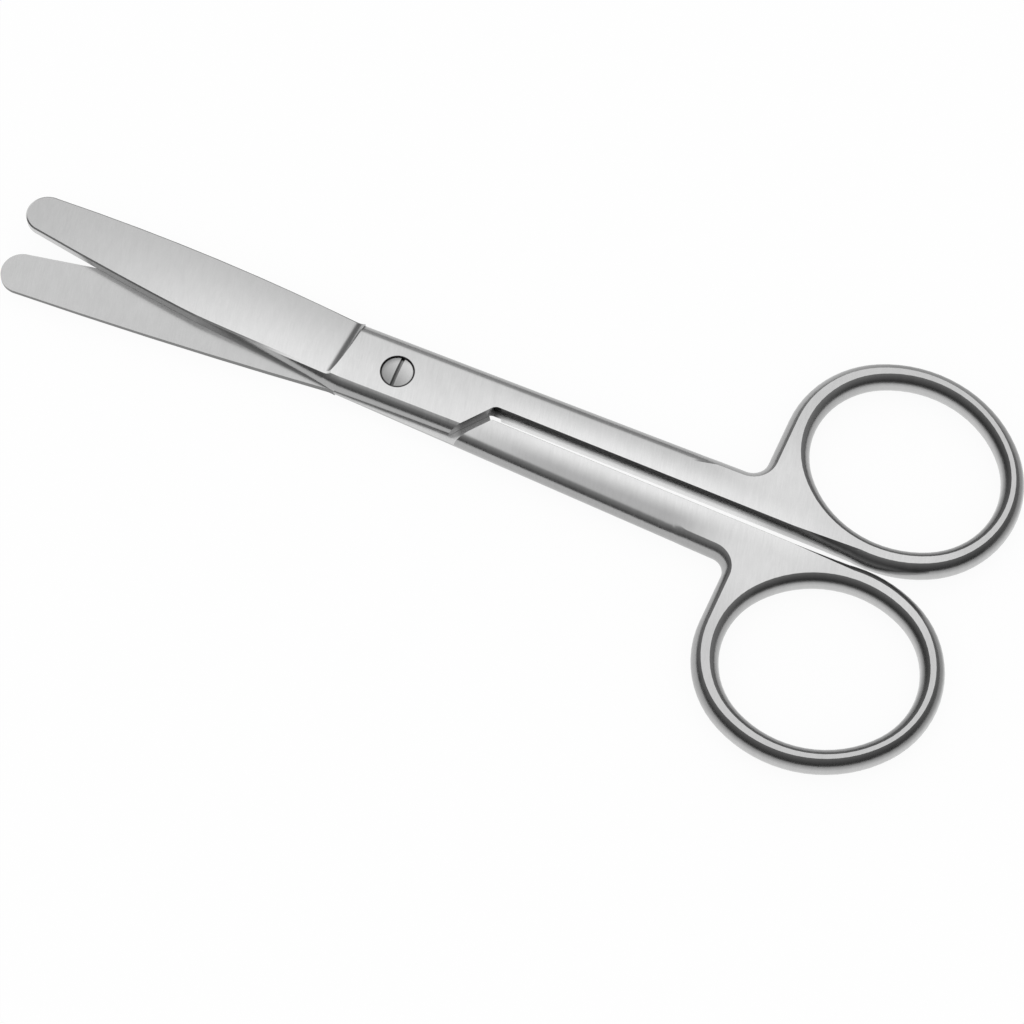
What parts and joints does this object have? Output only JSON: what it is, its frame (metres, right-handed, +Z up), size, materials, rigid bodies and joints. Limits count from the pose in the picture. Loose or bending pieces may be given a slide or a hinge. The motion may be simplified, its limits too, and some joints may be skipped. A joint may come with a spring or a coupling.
{
  "type": "dissecting scissors",
  "caption": "Slim steel dissecting scissors with blunt leaf-shaped blades, a slotted pivot screw, lapped shanks with slanted steps and oval finger rings; the halves turn about the screw.",
  "frame": {"origin": "where the pivot screw's axis meets the plane of the underside", "axes": "+X along the middle of the closed pair towards the finger rings, +Y towards the upper half's ring, +Z up along the pivot screw out of its slotted head"},
  "size_m": [0.1453, 0.0625, 0.0046],
  "materials": {
    "satin_steel": "satin, finely brushed",
    "screw_steel": "polished"
  },
  "bodies": {
    "lower_half": {"rear_half": "satin_steel", "pivot_screw": "screw_steel"},
    "upper_half": {"front_half": "satin_steel"}
  },
  "joints": [
    {"name": "pivot", "type": "hinge", "parent": "lower_half", "child": "upper_half", "pos_m": [0, 0, 0], "axis": [0, 0, 1], "range_deg": [0, 120]}
  ]
}
